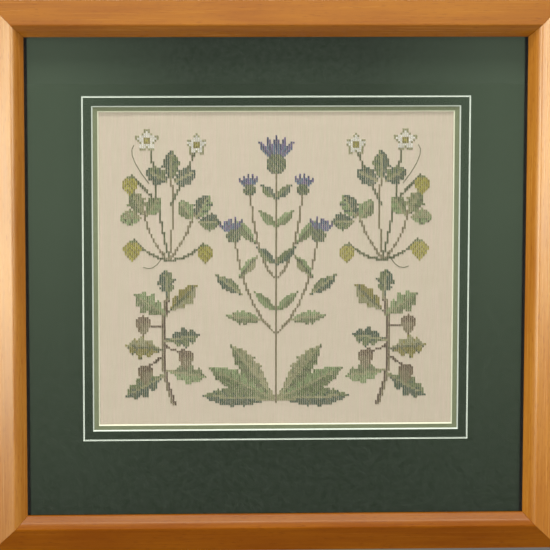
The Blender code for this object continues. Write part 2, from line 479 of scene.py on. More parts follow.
def object_coordinates(tree, turn=(0.0, 0.0, 0.0), shift=(0.0, 0.0, 0.0)):
    """Object coordinates, turned and shifted for a piece."""
    source = add_node(tree, "ShaderNodeTexCoord").outputs["Object"]
    inputs = {"Vector": source, "Rotation": turn, "Location": shift}
    return add_node(tree, "ShaderNodeMapping", inputs).outputs["Vector"]


def connect_bump(tree, shader, height, depth, strength):
    """Relief on a shader from a height, with its depth in metres."""
    bump = add_node(tree, "ShaderNodeBump", {"Height": height, "Distance": depth, "Strength": strength})
    tree.links.new(bump.outputs["Normal"], shader.inputs["Normal"])


def solid(colour):
    """A colour property as four numbers."""
    return (*colour[:3], 1.0)


def shaded(colour, factors):
    """A colour property as four numbers, each of its parts times its own factor."""
    return tuple(min(1.0, part * factor) for part, factor in zip(colour, factors)) + (1.0,)


def paler(colour, share):
    """A colour moved towards white, or towards black where the share is negative."""
    target = 1.0 if share > 0 else 0.0
    return tuple(part + (target - part) * abs(share) for part in colour[:3]) + (1.0,)


def wood_material(side, settings):
    """Honey-coloured wood with its grain along one rail, its colour scaled per rail as painted light: painted
    sheen on the side rails, painted shade on the top and bottom rails.
    """
    tones, gloss = RAIL_PAINTED_LIGHT_AND_GLOSS[side]
    constants = {"IOR": 1.5, "Specular_IOR_Level": gloss, "Specular_Tint": LACQUER_TINT}
    material, tree, shader = new_material("wood_" + side, **constants)
    upright = side in ("left", "right")
    turn = (0.0, math.pi / 2, 0.0) if upright else (0.0, 0.0, 0.0)
    place = list(RAIL_TURNS).index(side)
    values = {
        "Vector": object_coordinates(tree, turn, tuple(shift * place for shift in GRAIN_SHIFT)),
        "Flecks": FLECK_SHARE,
        "Pale": shaded(settings.pale_wood, tones),
        "Deep": shaded(settings.deep_wood, tones),
        "Fleck": shaded(settings.fleck, tones),
    }
    grain = place_group(tree, wood_grain, values)
    tree.links.new(grain["Color"], shader.inputs["Base Color"])
    # Seen in the glass, the wood has no gloss
    mirrored = add_node(tree, "ShaderNodeLightPath").outputs["Is Glossy Ray"]
    roughness = maths(tree, "MAXIMUM", grain["Roughness"], times(tree, mirrored, MIRRORED_ROUGHNESS))
    tree.links.new(roughness, shader.inputs["Roughness"])
    connect_bump(tree, shader, grain["Height"], *WOOD_RELIEF)
    return material


def card_material(name, face, fibre, amount, roughness=0.85, glare_colour=None):
    """Paper or card with a faint mottle, and painted glare of the lamps where a glare colour is given."""
    material, tree, shader = new_material(name, Roughness=roughness, IOR=1.45, Specular_IOR_Level=0.2)
    values = {"Vector": object_coordinates(tree), "Face": face, "Fibre": fibre, "Amount": amount}
    card = place_group(tree, card_fibre, values)
    colour = card["Color"]
    if glare_colour:
        values = {"Vector": object_coordinates(tree), "Color": colour, "Faded": glare_colour}
        colour = place_group(tree, painted_glare, values)["Color"]
    tree.links.new(colour, shader.inputs["Base Color"])
    connect_bump(tree, shader, card["Height"], *CARD_RELIEF)
    return material


def glass_material():
    """Clear picture glass that lets light straight through to what lies behind it."""
    constants = {"Roughness": 0.01, "IOR": 1.5, "Transmission_Weight": 1.0, "Specular_IOR_Level": 0.12}
    material, tree, shader = new_material("picture_glass", Base_Color=GLASS_TINT, **constants)
    clear = add_node(tree, "ShaderNodeBsdfTransparent", {"Color": GLASS_CLEARNESS})
    path = add_node(tree, "ShaderNodeLightPath")
    lit_through = maths(tree, "MAXIMUM", path.outputs["Is Shadow Ray"], path.outputs["Is Diffuse Ray"])
    inputs = {0: lit_through, 1: shader.outputs["BSDF"], 2: clear.outputs["BSDF"]}
    mix = add_node(tree, "ShaderNodeMixShader", inputs)
    tree.links.new(mix.outputs["Shader"], tree.nodes["Material Output"].inputs["Surface"])
    return material


def linen_material(settings):
    """Natural linen in plain weave."""
    constants = {"Roughness": 0.92, "Sheen_Weight": 0.15, "Sheen_Roughness": 0.5}
    material, tree, shader = new_material("linen_cloth", **constants)
    values = {
        "Vector": object_coordinates(tree, shift=(0.0, 0.0, -CLOTH_MIDDLE_Z)),
        "Threads": 1.0 / settings.thread_pitch,
        "Slub": THREAD_UNEVENNESS,
        "Top": solid(settings.linen_pale),
        "GapShadow": solid(settings.linen_deep),
        "Streak": solid(settings.linen_streak),
    }
    weave = place_group(tree, linen_weave, values)
    tree.links.new(weave["Color"], shader.inputs["Base Color"])
    connect_bump(tree, shader, weave["Height"], *LINEN_RELIEF)
    return material


def floss_material(name, colour):
    """Cotton floss of one colour, with its shade read from the stitch."""
    constants = {"Roughness": 0.62, "Sheen_Weight": 0.2, "Sheen_Roughness": 0.4}
    material, tree, shader = new_material("floss_" + name, **constants)
    uv = add_node(tree, "ShaderNodeUVMap", uv_map="strand").outputs["UV"]
    shade = add_node(tree, "ShaderNodeAttribute", attribute_name="shade").outputs["Fac"]
    values = {"UV": uv, "Floss": solid(colour), "Shade": shade, "Turns": FLOSS_TURNS}
    twist = place_group(tree, floss_twist, values)
    tree.links.new(twist["Color"], shader.inputs["Base Color"])
    connect_bump(tree, shader, twist["Height"], *FLOSS_RELIEF)
    return material


# Meshes and objects


def mesh_from(name, bm):
    """A mesh with the shape of a bmesh, which is freed."""
    mesh = bpy.data.meshes.new(name)
    bm.to_mesh(mesh)
    bm.free()
    return mesh


def add_object(name, data):
    """An object in the scene."""
    obj = bpy.data.objects.new(name, data)
    bpy.context.scene.collection.objects.link(obj)
    return obj


def dressed(name, mesh, materials, slot, nodes, smooth_angle=None):
    """A piece from a mesh, with its materials and shading, that rides on the frame and replaces solids."""
    for material in materials:
        mesh.materials.append(material)
    if smooth_angle is not None:
        mesh.shade_smooth()
        mesh.set_sharp_from_angle(angle=smooth_angle)
    obj = add_object(name, mesh)
    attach(obj, "root")
    if nodes:
        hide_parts(*nodes)
    return obj


def only(kind, geometry):
    """The items of one kind in what an operator gives back."""
    return [item for item in geometry if isinstance(item, kind)]


def round_edges(bm, edges, reach, steps):
    """Bevel edges to a round of some steps."""
    bmesh.ops.bevel(bm, geom=edges, offset=reach, offset_type="OFFSET", segments=steps, profile=0.5,
                    affect="EDGES", material=-1, clamp_overlap=True)


def rail_corners(settings):
    """Corners of the moulding's section from the lip to the rebate: outward, forward, rounding and steps."""
    bead_end, ridge_top = settings.bead_end, settings.ridge_top
    floor_share, floor_drops = QUIRK_FLOOR
    quirk_floor = ridge_top - floor_drops * settings.quirk_drop
    return [
        (0.0, REBATE_DEPTH, *SHARP),
        (0.0, REBATE_DEPTH + settings.lip, *LIP_ROUND),
        (settings.knee, settings.knee_top, settings.bead_round, BEAD_STEPS),
        (bead_end, ridge_top, *BEAD_EDGE_ROUND),
        (bead_end + settings.quirk_width * floor_share, quirk_floor, *SHARP),
        (bead_end + settings.quirk_width, ridge_top - settings.quirk_drop, *QUIRK_ROUND),
        (RAIL_WIDTH, settings.outer_edge, *OUTER_ROUND),
        (RAIL_WIDTH, 0.0, *BACK_CHAMFER),
        (REBATE_WIDTH, 0.0, *SHARP),
        (REBATE_WIDTH, REBATE_DEPTH, *SHARP),
    ]


def rail_bmesh(settings, sight_length, sight_offset, turn_deg):
    """A mitred rail with rounded edges, built along X above the opening and turned to its side."""
    bm = bmesh.new()
    set_back = (settings.mitre_gap / 2 + settings.mitre_ease) * math.sqrt(2.0)
    half = sight_length / 2 - set_back
    corners = rail_corners(settings)
    near = [bm.verts.new((-half - out, -forward, sight_offset + out)) for out, forward, _, _ in corners]
    end = bm.faces.new(near)
    swept = bmesh.ops.extrude_face_region(bm, geom=[end])["geom"]
    for vert in only(bmesh.types.BMVert, swept):
        vert.co.x = -vert.co.x
    for vert, (_, _, rounding, steps) in zip(near, corners):
        if rounding:
            long_edge = max(vert.link_edges, key=lambda edge: edge.calc_length())
            round_edges(bm, [long_edge], rounding, steps)
    bmesh.ops.recalc_face_normals(bm, faces=bm.faces[:])
    for face in [face for face in bm.faces if abs(face.normal.x) > 0.5]:
        bmesh.ops.inset_region(bm, faces=[face], use_boundary=True, use_even_offset=True,
                               thickness=settings.mitre_ease, depth=settings.mitre_ease)
    turn = Matrix.Rotation(math.radians(turn_deg), 4, "Y")
    bmesh.ops.transform(bm, matrix=Matrix.Translation(SIGHT_MIDDLE) @ turn, verts=bm.verts[:])
    bmesh.ops.recalc_face_normals(bm, faces=bm.faces[:])
    return bm


def rectangle_corners(bm, low, high, y):
    """Corners of an upright rectangle between two places (x, z)."""
    places = (low, (high[0], low[1]), high, (low[0], high[1]))
    return [bm.verts.new((x, y, z)) for x, z in places]


def window_of(node):
    """Half the width of a mat's window, and its lower and upper edge, at the back of its bevel."""
    points = np.array([vertex.co[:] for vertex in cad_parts[node].data.vertices])
    half_width = np.abs(points[:, 0]).min()
    on_edge = points[np.abs(np.abs(points[:, 0]) - half_width) < SAME_PLACE]
    return half_width, float(on_edge[:, 2].min()), float(on_edge[:, 2].max())


def mat_bmesh(settings, node, grooved):
    """A window mat as nested rectangles, joined from the outer edge to the bevel and round the back."""
    low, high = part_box(node)
    half_width, floor_z, head_z = window_of(node)
    front, back = low.y, high.y
    bevel = settings.bevel_width
    bm = bmesh.new()

    def window(grow, y):
        """The window's rectangle at the back of the bevel, grown by a margin."""
        lower_left = (-half_width - grow, floor_z - grow)
        return rectangle_corners(bm, lower_left, (half_width + grow, head_z + grow), y)

    paper_back = front + settings.paper
    paper_share = settings.paper / (back - front)
    outer = ((low.x, low.z), (high.x, high.z))
    loops = [(rectangle_corners(bm, *outer, back), PAPER), (rectangle_corners(bm, *outer, front), PAPER)]
    if grooved:
        centre = settings.groove_reach + bevel / 2
        wall = settings.groove_width / 2
        sunk = settings.paper / settings.groove_depth * wall
        loops += [
            (window(centre + wall, front), PAPER),
            (window(centre + wall - sunk, paper_back), CORE),
            (window(centre, front + settings.groove_depth), CORE),
            (window(centre - wall + sunk, paper_back), PAPER),
            (window(centre - wall, front), PAPER),
        ]
    loops += [
        (window(bevel, front), PAPER),
        (window(bevel * (1.0 - paper_share), paper_back), CORE),
        (window(0.0, back), CORE),
    ]
    for index, (loop, material_index) in enumerate(loops):
        following = loops[(index + 1) % len(loops)][0]
        for corner in range(4):
            beside = (corner + 1) % 4
            face = bm.faces.new((loop[corner], loop[beside], following[beside], following[corner]))
            face.material_index = material_index
    bmesh.ops.recalc_face_normals(bm, faces=bm.faces[:])
    return bm


# The chart of cross stitches, in squares from the middle of the cloth

# A leaf: its edge, ribs and midrib in squares, and the share of its length that the midrib takes up
LEAF_HEM = 0.3
RIB_LEAN = 0.8
RIB_WIDTH = 0.9
RIB_START = 0.6
VEIN_REACH = 0.55
VEIN_END = 0.86

# A flower head from the side: half its opening in radians, florets in a full turn, and bands of colour
FAN_OPENING = 0.80
FLORETS = 19.0
FLORET_BANDS = 9.5


class Chart:
    """Squares of a counted chart, each with its floss, and the back stitches over them.

    Places are complex numbers, in squares from the middle of the cloth.
    """

    def __init__(self):
        self.squares = {}
        self.lines = []

    def put(self, place, floss):
        """Work one square."""
        self.squares[(round(place.real), round(place.imag))] = floss

    def near(self, centre, reach):
        """Every square within reach of a place, as its offset from there."""
        for column in range(math.floor(centre.real - reach), math.ceil(centre.real + reach) + 1):
            for row in range(math.floor(centre.imag - reach), math.ceil(centre.imag + reach) + 1):
                yield complex(column, row) - centre

    def curve(self, start, bend, end, steps):
        """Places along a smooth curve that leaves the start towards the bend."""
        for step in range(steps + 1):
            share = step / steps
            yield start * (1 - share) ** 2 + bend * 2 * share * (1 - share) + end * share ** 2

    def stem(self, start, bend, end, floss, second=None):
        """A stem along a smooth curve, two squares wide where a second floss is given."""
        for place in self.curve(start, bend, end, max(4, int(3.0 * (abs(bend - start) + abs(end - bend))))):
            self.put(place, floss)
            if second:
                self.put(place + 1, second)

    def tendril(self, start, bend, end):
        """A fine line of back stitches along a curve."""
        points = list(self.curve(start, bend, end, 5))
        self.lines += list(zip(points, points[1:]))

    def leaf(self, base, tip, breadth, light, dark, vein=None, fullest=0.45, teeth=0, lobes=0, ribs=0.0):
        """A leaf with a light and a dark half, and a midrib, ribs, teeth or lobes where they are given."""
        length = abs(tip - base)
        ahead = (tip - base) / length
        power = math.log(0.5) / math.log(fullest)
        for offset in self.near(base, length + breadth):
            local = offset / ahead
            along, across = local.real / length, local.imag
            if not -0.01 <= along <= 1.0:
                continue
            swell = math.sin(math.pi * max(along, 0.0) ** power)
            if lobes:
                lobe = abs(math.sin(math.pi * (along * lobes + 0.15)))
                swell *= 0.50 + 0.50 * lobe
            if teeth:
                tooth = (along * teeth + (0.5 if across > 0 else 0.0)) % 1.0
                swell *= 1.08 - 0.30 * tooth
            if abs(across) > breadth * swell + LEAF_HEM:
                continue
            floss = light if across > 0 else dark
            rib = ribs and (local.real - abs(across) * RIB_LEAN) % ribs < RIB_WIDTH
            if rib and abs(across) > RIB_START:
                floss = dark if across > 0 else "moss"
            if vein and abs(across) < VEIN_REACH and along < VEIN_END:
                floss = vein
            self.put(base + offset, floss)

    def petals(self, centre, radius, floss, count, depth):
        """A flower seen from the front, with rounded petals and one of them upright."""
        for offset in self.near(centre, radius + 1):
            angle = cmath.phase(offset) - math.pi / 2 if offset else 0.0
            edge = radius * (1.0 - depth * (0.5 - 0.5 * math.cos(count * angle)))
            if abs(offset) <= edge:
                self.put(centre + offset, floss)

    def mirrored(self):
        """Repeat every square and line on the other side of the middle column."""
        for (column, row), floss in list(self.squares.items()):
            self.squares[(-column, row)] = floss
        self.lines += [(-start.conjugate(), -end.conjugate()) for start, end in self.lines]


def stripe(place, count):
    """Number of the slanting stripe that a square lies in, where some stripes repeat."""
    return (round(place.real) + round(place.imag)) % count


def toothed_trio(chart, base, heading, size, tones):
    """Three toothed leaflets on one stalk, heading some degrees from the right."""
    light, middle, dark = tones
    ahead = cmath.rect(1.0, math.radians(heading))
    leaflets = ((62, 0.84, middle, dark), (-62, 0.84, light, middle), (0, 1.0, light, dark))
    for turn, share, near, far in leaflets:
        out = ahead * cmath.rect(size * share, math.radians(turn))
        chart.leaf(base + out * 0.10, base + out, size * 0.27, near, far, "sage", 0.55, teeth=5, ribs=3.2)


def white_flower(chart, centre, radius):
    """A white flower with five petals, a pale green edge and a yellow eye."""
    chart.petals(centre, radius + 0.9, "sage", 5, 0.30)
    chart.petals(centre, radius, "white", 5, 0.36)
    chart.petals(centre, radius * 0.36, "olive", 5, 0.0)
    chart.put(centre, "yellow")


def hanging_cone(chart, top, size):
    """A hanging cone of overlapping yellow scales under a green cap."""
    middle = top - 1j * size * 0.5
    for offset in chart.near(middle, size):
        down = 0.5 - offset.imag / size
        if 0.0 <= down <= 1.0 and abs(offset.real) <= size * 0.46 * math.sin(math.pi * down ** 0.72) + 0.2:
            place = middle + offset
            aside = round(place.real - top.real)
            scale = (round(place.imag) + abs(aside) + (aside > 0)) % 3
            chart.put(place, ("olive", "yellow", "yellow")[scale])
    for lean in (-1, 0, 1):
        chart.put(top + lean, "mid_green")


def tufted_head(chart, base, size, lean=0.0):
    """A flower head from the side: a scaly green cup below a fan of blue and violet florets."""
    up = cmath.rect(1.0, math.pi / 2 + lean)
    middle = base + up * size * 0.36
    reach = size * 0.95
    for offset in chart.near(middle, reach + 1):
        angle = cmath.phase(offset / up) if offset else 0.0
        edge = reach * (0.86 + 0.14 * math.cos(angle * FLORETS))
        if abs(angle) < FAN_OPENING and size * 0.12 < abs(offset) <= edge:
            band = int((angle + 4.0) * FLORET_BANDS) % 3
            chart.put(middle + offset, ("slate_blue", "violet", "navy")[band])
    for offset in chart.near(middle, size * 0.4):
        if abs(offset) <= size * 0.35:
            place = middle + offset
            chart.put(place, ("mid_green", "dark_green", "moss")[stripe(place, 3)])


def acorn(chart, top, size):
    """A hanging acorn: a rough domed cup over a smooth pointed nut."""
    middle = top - 1j * size * 0.34
    for offset in chart.near(middle, size):
        across, up = abs(offset.real) / (size * 0.44), offset.imag / size
        place = middle + offset
        if 0.0 <= up <= 0.34 * math.sqrt(max(0.0, 1.0 - across * across)):
            chart.put(place, ("umber", "brown")[stripe(place, 2)])
        elif -0.66 <= up < 0.0 and across <= 0.80 * math.sqrt(max(0.0, 1.0 - (up / 0.68) ** 2)):
            chart.put(place, "taupe" if offset.real < size * 0.12 else "umber")
    chart.put(middle - 1j * round(size * 0.72), "umber")


def flower_chart():
    """A symmetrical design: a tall tufted plant between two cone-bearing sprigs above two acorn twigs."""
    chart = Chart()
    middle_plant(chart)
    upper_sprig(chart)
    lower_twig(chart)
    chart.mirrored()
    middle_crown(chart)
    return chart


def middle_plant(chart):
    """Right half of the tall plant: its rosette of leaves, side stems and side heads."""
    rosette = ((34 - 60j, 4.2, "mid_green", "dark_green"), (31 - 47j, 4.6, "light_green", "mid_green"),
               (21 - 36j, 4.4, "sage", "mid_green"))
    for tip, breadth, light, dark in rosette:
        chart.leaf(-62j, tip, breadth, light, dark, "sage", 0.62, teeth=7, ribs=4.5)
    chart.stem(1 - 30j, 14 - 18j, 19 + 12j, "taupe")
    chart.stem(1 - 4j, 9 + 4j, 12 + 34j, "taupe")
    chart.leaf(7 - 24j, 23 - 22j, 3.0, "light_green", "mid_green", "sage", 0.5, teeth=5, ribs=4.0)
    chart.leaf(16 - 12j, 28 - 3j, 2.8, "mid_green", "dark_green", "sage", 0.5, teeth=5, ribs=4.0)
    chart.leaf(17 - 4j, 9 + 6j, 2.2, "sage", "light_green", "moss", 0.5, teeth=4)
    chart.leaf(10 + 12j, 19 + 23j, 2.4, "light_green", "mid_green", "moss", 0.5, teeth=4)
    tufted_head(chart, 19 + 12j, 9.5, -0.22)
    tufted_head(chart, 12 + 34j, 8.0, -0.12)


def middle_crown(chart):
    """Main stem, stem leaves and large head of the tall plant."""
    chart.stem(-63j, -10j, 44j, "taupe")
    for level, rise in enumerate((-20, 2, 20, 33)):
        light, dark = (("light_green", "mid_green"), ("mid_green", "dark_green"))[level % 2]
        for side in (-1, 1):
            tip = complex(side * (10 - level), rise + 9 - level)
            chart.leaf(1j * rise, tip, 2.0, light, dark, None, 0.5, teeth=3)
    tufted_head(chart, 44j, 14.0)


def upper_sprig(chart):
    """Trios of toothed leaves, small white flowers and hanging cones on one root."""
    root = 50 + 4j
    for end, bend in ((38 + 26j, 42 + 14j), (62 + 30j, 60 + 14j), (49 + 46j, 47 + 24j)):
        chart.stem(root, bend, end, "taupe")
    stalks = ((root + 2j, 56 + 30j, 58 + 56j), (49 + 30j, 42 + 44j, 38 + 54j), (54 + 30j, 64 + 40j, 67 + 44j),
              (root, 60 + 6j, 66 + 14j), (root, 40 + 5j, 34 + 12j))
    for start, bend, end in stalks:
        chart.stem(start, bend, end, "moss")
    toothed_trio(chart, 38 + 22j, 118, 14.5, ("light_green", "mid_green", "dark_green"))
    toothed_trio(chart, 61 + 24j, 62, 14.0, ("sage", "light_green", "mid_green"))
    toothed_trio(chart, 49 + 40j, 92, 15.5, ("mid_green", "dark_green", "dark_green"))
    white_flower(chart, 60 + 60j, 4.6)
    white_flower(chart, 37 + 58j, 4.2)
    for top, size in ((68 + 43j, 8), (67 + 13j, 9), (33 + 11j, 8)):
        hanging_cone(chart, top, size)
    chart.tendril(59 + 40j, 70 + 54j, 66 + 58j)
    chart.tendril(52 + 8j, 56 - 2j, 62 + 1j)


def lower_twig(chart):
    """A twig with lobed leaves and acorns."""
    chart.stem(47 - 64j, 56 - 44j, 50 - 12j, "brown", "taupe")
    leaves = ((52 - 50j, 70 - 60j, 5.0), (51 - 48j, 33 - 51j, 4.8), (53 - 38j, 70 - 36j, 5.2),
              (52 - 34j, 36 - 31j, 4.8), (51 - 22j, 66 - 12j, 5.0), (50 - 20j, 37 - 8j, 4.6),
              (50 - 14j, 52, 4.4))
    tones = (("mid_green", "dark_green", "sage"), ("light_green", "mid_green", "sage"),
             ("sage", "olive", "moss"))
    for number, (base, tip, breadth) in enumerate(leaves):
        light, dark, vein = tones[number % 3]
        chart.leaf(base, tip, breadth, light, dark, vein, 0.58, lobes=4, ribs=5.0)
    for twig, cup in ((58 - 30j, 61 - 23j), (46 - 40j, 43 - 38j), (56 - 44j, 60 - 46j)):
        chart.stem(52 + 1j * (twig.imag + 4), twig, cup, "brown")
    for top in (62 - 22j, 42 - 38j, 61 - 45j):
        acorn(chart, top, 9)


# Red, green and blue of each floss
FLOSS_COLOURS = {
    "dark_green": (0.062, 0.115, 0.072),
    "mid_green": (0.155, 0.205, 0.080),
    "light_green": (0.240, 0.325, 0.140),
    "sage": (0.305, 0.305, 0.155),
    "moss": (0.110, 0.135, 0.060),
    "yellow": (0.400, 0.360, 0.045),
    "olive": (0.250, 0.225, 0.040),
    "slate_blue": (0.095, 0.165, 0.250),
    "navy": (0.060, 0.075, 0.150),
    "violet": (0.165, 0.130, 0.270),
    "white": (0.740, 0.715, 0.640),
    "taupe": (0.225, 0.195, 0.105),
    "brown": (0.115, 0.080, 0.045),
    "umber": (0.190, 0.140, 0.070),
}


# Stitches as meshes


def stitch_pitch(settings):
    """Width of the square under one cross stitch."""
    return settings.thread_pitch * settings.threads_per_stitch


def cloth_front(settings):
    """Y of the linen's front face, midway in its ripple."""
    return LINEN_HIGH.y - LINEN_SPACE - settings.cloth_thickness


def add_ply(bm, strand_uv, ends, sideways, top, radius, steps):
    """One ply of floss: a four-sided tube that rises from one hole and sinks into the next."""
    start, end = (Vector(place) for place in ends)
    ahead = (end - start).normalized()
    side = ahead.cross(Vector((0.0, -1.0, 0.0)))
    ring = bmesh.ops.create_circle(bm, cap_ends=True, segments=4, radius=radius)["verts"]
    place = Matrix.Translation(start) @ ahead.to_track_quat("Z", "Y").to_matrix().to_4x4()
    bmesh.ops.transform(bm, matrix=place, verts=ring)
    around = {vert: index / 4.0 for index, vert in enumerate(ring)}
    along = {vert: 0.0 for vert in ring}
    head = ring[0].link_faces[0]
    height = 0.0
    for step in range(1, steps + 1):
        share = step / steps
        next_height = top * math.sin(math.pi * share) ** PLY_RISE_POWER if step < steps else 0.0
        swept = bmesh.ops.extrude_face_region(bm, geom=[head])["geom"]
        if step > 1:
            bmesh.ops.delete(bm, geom=[head], context="FACES_ONLY")
        verts = only(bmesh.types.BMVert, swept)
        head = only(bmesh.types.BMFace, swept)[0]
        shift = (end - start) / steps + Vector((0.0, height - next_height, 0.0))
        height = next_height
        for vert in verts:
            beside = [edge.other_vert(vert) for edge in vert.link_edges]
            around[vert] = around[next(other for other in beside if other in along)]
            vert.co += shift
        for vert in verts:
            along[vert] = share
    inner = [vert for vert, share in along.items() if 0.0 < share < 1.0]
    bmesh.ops.translate(bm, vec=side * sideways, verts=inner)
    for vert in along:
        for loop in vert.link_loops:
            values = [around[other.vert] for other in loop.face.loops]
            wrap = 1.0 if max(values) - min(values) > 0.5 and around[vert] == 0.0 else 0.0
            loop[strand_uv].uv = (along[vert], around[vert] + wrap)


def stitch_template(name, plies):
    """Mesh of one stitch from its plies, each given as add_ply takes it."""
    bm = bmesh.new()
    strand_uv = bm.loops.layers.uv.new("strand")
    for ply in plies:
        add_ply(bm, strand_uv, *ply)
    bmesh.ops.recalc_face_normals(bm, faces=bm.faces[:])
    return mesh_from(name, bm)


def cross_template(settings):
    """One cross stitch round the origin: two legs of two plies, the second leg over the first."""
    half_square = stitch_pitch(settings) / 2
    across, up = half_square - settings.side_space, half_square - settings.row_space
    radius = settings.ply_radius
    aside = radius * PLY_SPACING
    plies = []
    for lean, top, steps in ((1, settings.lower_leg, 2), (-1, settings.upper_leg, 4)):
        ends = ((-across * lean, 0.0, -up), (across * lean, 0.0, up))
        plies += [(ends, sideways, top, radius, steps) for sideways in (-aside, aside)]
    return stitch_template("cross_template", plies)


def back_stitch_template(settings):
    """One back stitch along X, one unit long."""
    ends = ((-0.5, 0.0, 0.0), (0.5, 0.0, 0.0))
    ply = (ends, 0.0, BACK_STITCH_RISE, settings.ply_radius * BACK_STITCH_GIRTH, 3)
    return stitch_template("back_stitch_template", [ply])


def values_of(items, attribute, width, kind):
    """Values of one attribute of all items, as an array."""
    values = np.empty(len(items) * width, dtype=kind)
    items.foreach_get(attribute, values)
    return values


def tiled_mesh(name, template, matrices, shades):
    """Join a copy of the template for each 3 by 4 matrix, with each copy's shade on its points."""
    count = len(matrices)
    points = values_of(template.vertices, "co", 3, np.float32).reshape(-1, 3)
    corner_verts = values_of(template.loops, "vertex_index", 1, np.int32)
    face_starts = values_of(template.polygons, "loop_start", 1, np.int32)
    strand = values_of(template.uv_layers["strand"].data, "uv", 2, np.float32)
    matrices = np.asarray(matrices, dtype=np.float32)
    placed = np.einsum("nij,vj->nvi", matrices[:, :, :3], points) + matrices[:, None, :, 3]
    copies = np.arange(count, dtype=np.int32)[:, None]
    mesh = bpy.data.meshes.new(name)
    mesh.vertices.add(count * len(points))
    mesh.vertices.foreach_set("co", placed.ravel())
    mesh.loops.add(count * len(corner_verts))
    mesh.loops.foreach_set("vertex_index", (corner_verts + copies * len(points)).ravel())
    mesh.polygons.add(count * len(face_starts))
    mesh.polygons.foreach_set("loop_start", (face_starts + copies * len(corner_verts)).ravel())
    mesh.uv_layers.new(name="strand")
    mesh.uv_layers["strand"].data.foreach_set("uv", np.tile(strand, count))
    shade = mesh.attributes.new("shade", "FLOAT", "POINT")
    shade.data.foreach_set("value", np.repeat(np.asarray(shades, dtype=np.float32), len(points)))
    mesh.update(calc_edges=True)
    mesh.validate()
    return mesh


def stitch_matrices(settings, squares, rng):
    """Placements of cross stitches, each a little turned, stretched and shifted."""
    pitch = stitch_pitch(settings)
    matrices = []
    for column, row in squares:
        turn = rng.normal(0.0, TURN_SPREAD)
        size = rng.normal(1.0, SIZE_SPREAD)
        shift = rng.normal(0.0, SHIFT_SPREAD, 2)
        lift = LEAST_RISE + RISE_SPREAD * rng.random()
        cosine, sine = math.cos(turn) * size, math.sin(turn) * size
        matrices.append([
            [cosine, 0.0, sine, column * pitch + shift[0]],
            [0.0, lift, 0.0, cloth_front(settings)],
            [-sine, 0.0, cosine, CLOTH_MIDDLE_Z + row * pitch + shift[1]],
        ])
    return matrices


def back_stitch_matrices(settings, lines):
    """Placements of back stitches along lines, each about two squares long."""
    pitch = stitch_pitch(settings)
    matrices = []
    for start, end in lines:
        count = max(1, round(abs(end - start) / BACK_STITCH_SQUARES))
        run = (end - start) / count * pitch
        ahead = run / abs(run)
        for index in range(count):
            middle = (start + (end - start) * (index + 0.5) / count) * pitch
            matrices.append([
                [run.real, 0.0, -ahead.imag, middle.real],
                [0.0, 1.0, 0.0, cloth_front(settings) - BACK_STITCH_LIFT],
                [run.imag, 0.0, ahead.real, CLOTH_MIDDLE_Z + middle.imag],
            ])
    return matrices


# Operators


class CROSSSTITCH_OT_rails(bpy.types.Operator):
    """Build the four rails of the moulding"""

    bl_idname = "crossstitch.rails"
    bl_label = "Wooden rails"

    def execute(self, context):
        settings = context.scene.crossstitch_frame
        width = SIGHT_RIGHT - SIGHT_LEFT
        height = SIGHT_TOP - SIGHT_BOTTOM
        for side, turn in RAIL_TURNS.items():
            level = side in ("top", "bottom")
            length, offset = (width, height / 2) if level else (height, width / 2)
            name = "moulding_" + side
            mesh = mesh_from(name, rail_bmesh(settings, length, offset, turn))
            wood = wood_material(side, settings)
            rail = dressed(name, mesh, [wood], "honey_wood", ["rail_" + side], WOOD_SMOOTH)
            rail.modifiers.new("even_shading", "WEIGHTED_NORMAL").keep_sharp = True
        return {"FINISHED"}


class CROSSSTITCH_OT_glass(bpy.types.Operator):
    """Build the picture glass"""

    bl_idname = "crossstitch.glass"
    bl_label = "Glass"

    def execute(self, context):
        low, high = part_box("glass")
        bm = bmesh.new()
        bmesh.ops.create_cube(bm, size=1.0)
        bmesh.ops.scale(bm, vec=high - low, verts=bm.verts[:])
        bmesh.ops.translate(bm, vec=(low + high) / 2, verts=bm.verts[:])
        round_edges(bm, bm.edges[:], *GLASS_EDGE)
        mesh = mesh_from("glass_pane", bm)
        dressed("glass_pane", mesh, [glass_material()], "clear_glass", ["glass"])
        return {"FINISHED"}


class CROSSSTITCH_OT_mats(bpy.types.Operator):
    """Build the two window mats"""

    bl_idname = "crossstitch.mats"
    bl_label = "Window mats"

    def execute(self, context):
        settings = context.scene.crossstitch_mats
        # The outer mat carries painted glare, paler at its sides and upper half
        glare_green_rgba = solid(settings.faded_green)
        rows = (("mat_outer", settings.dark_green, settings.outer_core, glare_green_rgba, "dark_green_mat"),
                ("mat_inner", settings.sage, settings.inner_core, None, "sage_mat"))
        for node, face, core, glare_colour, slot in rows:
            ground, fibre = paler(face, PAPER_GROUND), paler(face, PAPER_FIBRE)
            materials = [
                card_material(node + "_paper", ground, fibre, 1.0, glare_colour=glare_colour),
                card_material(node + "_core", solid(core), paler(core, CORE_FIBRE), 1.0),
            ]
            name = "window_" + node
            mesh = mesh_from(name, mat_bmesh(settings, node, bool(glare_colour)))
            dressed(name, mesh, materials, slot, [node])
        return {"FINISHED"}


